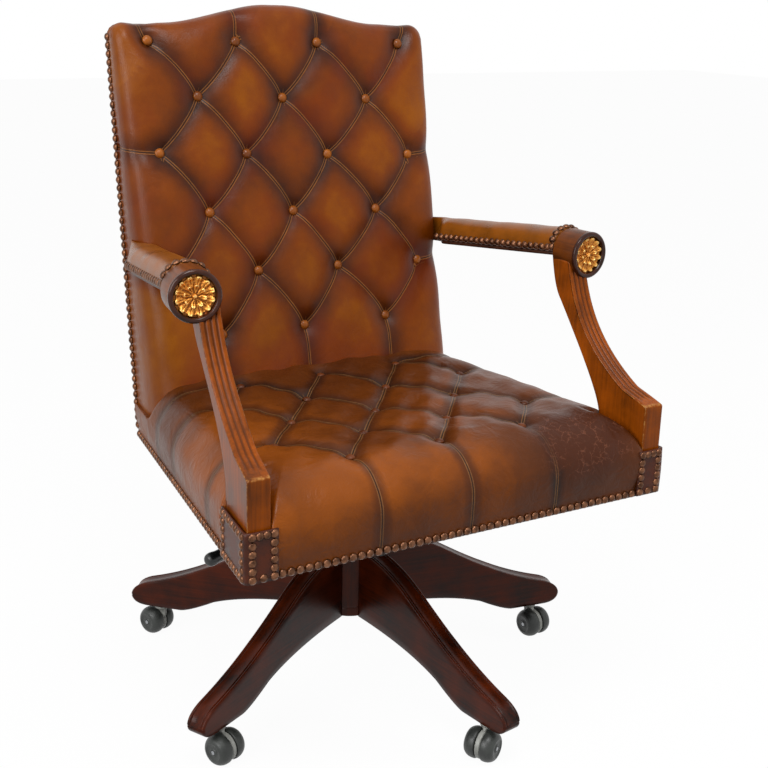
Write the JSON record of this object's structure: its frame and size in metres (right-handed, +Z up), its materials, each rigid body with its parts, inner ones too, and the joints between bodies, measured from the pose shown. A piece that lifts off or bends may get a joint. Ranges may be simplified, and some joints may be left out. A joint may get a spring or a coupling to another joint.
{
  "type": "swivel office chair",
  "caption": "Deep-buttoned leather swivel chair with scrolled wooden arms, leather arm pads, nail-head trim, gas lift, tilt mechanism and a wooden star base on twin-wheel casters.",
  "frame": {"origin": "middle of the footprint, on the floor", "axes": "+Z up; the sitter faces -Y; +X is on the right in a front view"},
  "size_m": [0.6826, 0.6797, 0.974],
  "materials": {
    "mahogany": "dark polished",
    "walnut": "hand rubbed, worn edges",
    "beech": "raw",
    "leather": "glossy hand dyed",
    "patch_leather": "satin",
    "gilt": "antique gilt",
    "bronze": "antique bronze",
    "brass": "aged",
    "black_steel": "satin black",
    "bright_steel": "satin",
    "grey_plastic": "satin",
    "tread": "satin",
    "black_plastic": "satin",
    "jute": "woven",
    "black_cloth": "non-woven"
  },
  "bodies": {
    "base": {"hub_block": "mahogany", "hub_cap": "brass", "gas_lift_cylinder": "black_steel", "gas_lift_rod": "bright_steel", "leg_1": "mahogany", "leg_2": "mahogany", "leg_3": "mahogany", "leg_4": "mahogany", "leg_5": "mahogany"},
    "caster_1": {"caster_1_hood": "grey_plastic", "caster_1_axle": "bright_steel"},
    "caster_1_wheel_left": {"caster_1_wheel_left": "tread"},
    "caster_1_wheel_right": {"caster_1_wheel_right": "tread"},
    "caster_2": {"caster_2_hood": "grey_plastic", "caster_2_axle": "bright_steel"},
    "caster_2_wheel_left": {"caster_2_wheel_left": "tread"},
    "caster_2_wheel_right": {"caster_2_wheel_right": "tread"},
    "caster_3": {"caster_3_hood": "grey_plastic", "caster_3_axle": "bright_steel"},
    "caster_3_wheel_left": {"caster_3_wheel_left": "tread"},
    "caster_3_wheel_right": {"caster_3_wheel_right": "tread"},
    "caster_4": {"caster_4_hood": "grey_plastic", "caster_4_axle": "bright_steel"},
    "caster_4_wheel_left": {"caster_4_wheel_left": "tread"},
    "caster_4_wheel_right": {"caster_4_wheel_right": "tread"},
    "caster_5": {"caster_5_hood": "grey_plastic", "caster_5_axle": "bright_steel"},
    "caster_5_wheel_left": {"caster_5_wheel_left": "tread"},
    "caster_5_wheel_right": {"caster_5_wheel_right": "tread"},
    "lift": {"gas_lift_column": "bright_steel"},
    "mechanism": {"tilt_housing": "black_steel", "tilt_pin": "bright_steel", "tension_spring": "bright_steel"},
    "height_lever": {"height_lever": "bright_steel", "lever_knob": "black_plastic"},
    "tension_knob": {"tension_knob": "black_plastic"},
    "seat": {"seat_plate": "black_steel", "tension_bolt": "bright_steel", "seat_frame": "beech", "seat_webbing": "jute", "seat_cushion": "leather", "dust_cover": "black_cloth", "seat_nail_trim": "bronze", "back_frame": "beech", "back_cushion": "leather", "back_cover": "leather", "back_nail_trim": "bronze", "arm_post_right": "walnut", "arm_rosette_right": "gilt", "arm_rail_right": "beech", "arm_pad_right": "leather", "arm_nail_trim_right": "bronze", "corner_patch_right": "patch_leather", "arm_post_left": "walnut", "arm_rosette_left": "gilt", "arm_rail_left": "beech", "arm_pad_left": "leather", "arm_nail_trim_left": "bronze", "corner_patch_left": "patch_leather"}
  },
  "joints": [
    {"name": "caster_swivel_1", "type": "hinge", "parent": "base", "child": "caster_1", "pos_m": [0.1291, 0.29325, 0.0485], "axis": [0, 0, 1], "continuous": true},
    {"name": "wheel_spin_1_left", "type": "hinge", "parent": "caster_1", "child": "caster_1_wheel_left", "pos_m": [0.14131, 0.29769, 0.022], "axis": [-0.342, 0.9397, 0], "continuous": true},
    {"name": "wheel_spin_1_right", "type": "hinge", "parent": "caster_1", "child": "caster_1_wheel_right", "pos_m": [0.14131, 0.29769, 0.022], "axis": [-0.342, 0.9397, 0], "continuous": true},
    {"name": "caster_swivel_2", "type": "hinge", "parent": "base", "child": "caster_2", "pos_m": [-0.23346, 0.23777, 0.0485], "axis": [0, 0, 1], "continuous": true},
    {"name": "wheel_spin_2_left", "type": "hinge", "parent": "caster_2", "child": "caster_2_wheel_left", "pos_m": [-0.23833, 0.24982, 0.022], "axis": [-0.9272, -0.3746, 0], "continuous": true},
    {"name": "wheel_spin_2_right", "type": "hinge", "parent": "caster_2", "child": "caster_2_wheel_right", "pos_m": [-0.23833, 0.24982, 0.022], "axis": [-0.9272, -0.3746, 0], "continuous": true},
    {"name": "caster_swivel_3", "type": "hinge", "parent": "base", "child": "caster_3", "pos_m": [-0.29273, -0.12419, 0.0485], "axis": [0, 0, 1], "continuous": true},
    {"name": "wheel_spin_3_left", "type": "hinge", "parent": "caster_3", "child": "caster_3_wheel_left", "pos_m": [-0.28829, -0.1364, 0.022], "axis": [0.9397, 0.342, 0], "continuous": true},
    {"name": "wheel_spin_3_right", "type": "hinge", "parent": "caster_3", "child": "caster_3_wheel_right", "pos_m": [-0.28829, -0.1364, 0.022], "axis": [0.9397, 0.342, 0], "continuous": true},
    {"name": "caster_swivel_4", "type": "hinge", "parent": "base", "child": "caster_4", "pos_m": [0.03319, -0.29241, 0.0485], "axis": [0, 0, 1], "continuous": true},
    {"name": "wheel_spin_4_left", "type": "hinge", "parent": "caster_4", "child": "caster_4_wheel_left", "pos_m": [0.02172, -0.29851, 0.022], "axis": [0.4695, -0.8829, 0], "continuous": true},
    {"name": "wheel_spin_4_right", "type": "hinge", "parent": "caster_4", "child": "caster_4_wheel_right", "pos_m": [0.02172, -0.29851, 0.022], "axis": [0.4695, -0.8829, 0], "continuous": true},
    {"name": "caster_swivel_5", "type": "hinge", "parent": "base", "child": "caster_5", "pos_m": [0.2939, -0.03442, 0.0485], "axis": [0, 0, 1], "continuous": true},
    {"name": "wheel_spin_5_left", "type": "hinge", "parent": "caster_5", "child": "caster_5_wheel_left", "pos_m": [0.29503, -0.04737, 0.022], "axis": [0.9962, 0.0872, 0], "continuous": true},
    {"name": "wheel_spin_5_right", "type": "hinge", "parent": "caster_5", "child": "caster_5_wheel_right", "pos_m": [0.29503, -0.04737, 0.022], "axis": [0.9962, 0.0872, 0], "continuous": true},
    {"name": "lift_slide", "type": "slide", "parent": "base", "child": "lift", "axis": [0, 0, 1], "range_m": [0, 0.09]},
    {"name": "seat_swivel", "type": "hinge", "parent": "lift", "child": "mechanism", "pos_m": [-0.014, 0.016, 0.28], "axis": [0, 0, 1], "continuous": true},
    {"name": "seat_tilt", "type": "hinge", "parent": "mechanism", "child": "seat", "pos_m": [-0.014, -0.022, 0.3033], "axis": [-1, 0, 0], "range_deg": [0, 14], "stiffness_Nm_per_rad": 90, "springref_deg": -25.78, "deforming": ["tension_spring"]},
    {"name": "height_lever_pull", "type": "hinge", "parent": "mechanism", "child": "height_lever", "pos_m": [-0.0575, -0.006, 0.2873], "axis": [-0.3588, 0.9334, 0], "range_deg": [0, 5], "stiffness_Nm_per_rad": 3, "springref_deg": -8.59},
    {"name": "tension_knob_turn", "type": "hinge", "parent": "seat", "child": "tension_knob", "pos_m": [-0.014, -0.062, 0.23], "axis": [0, 0, 1], "continuous": true}
  ]
}
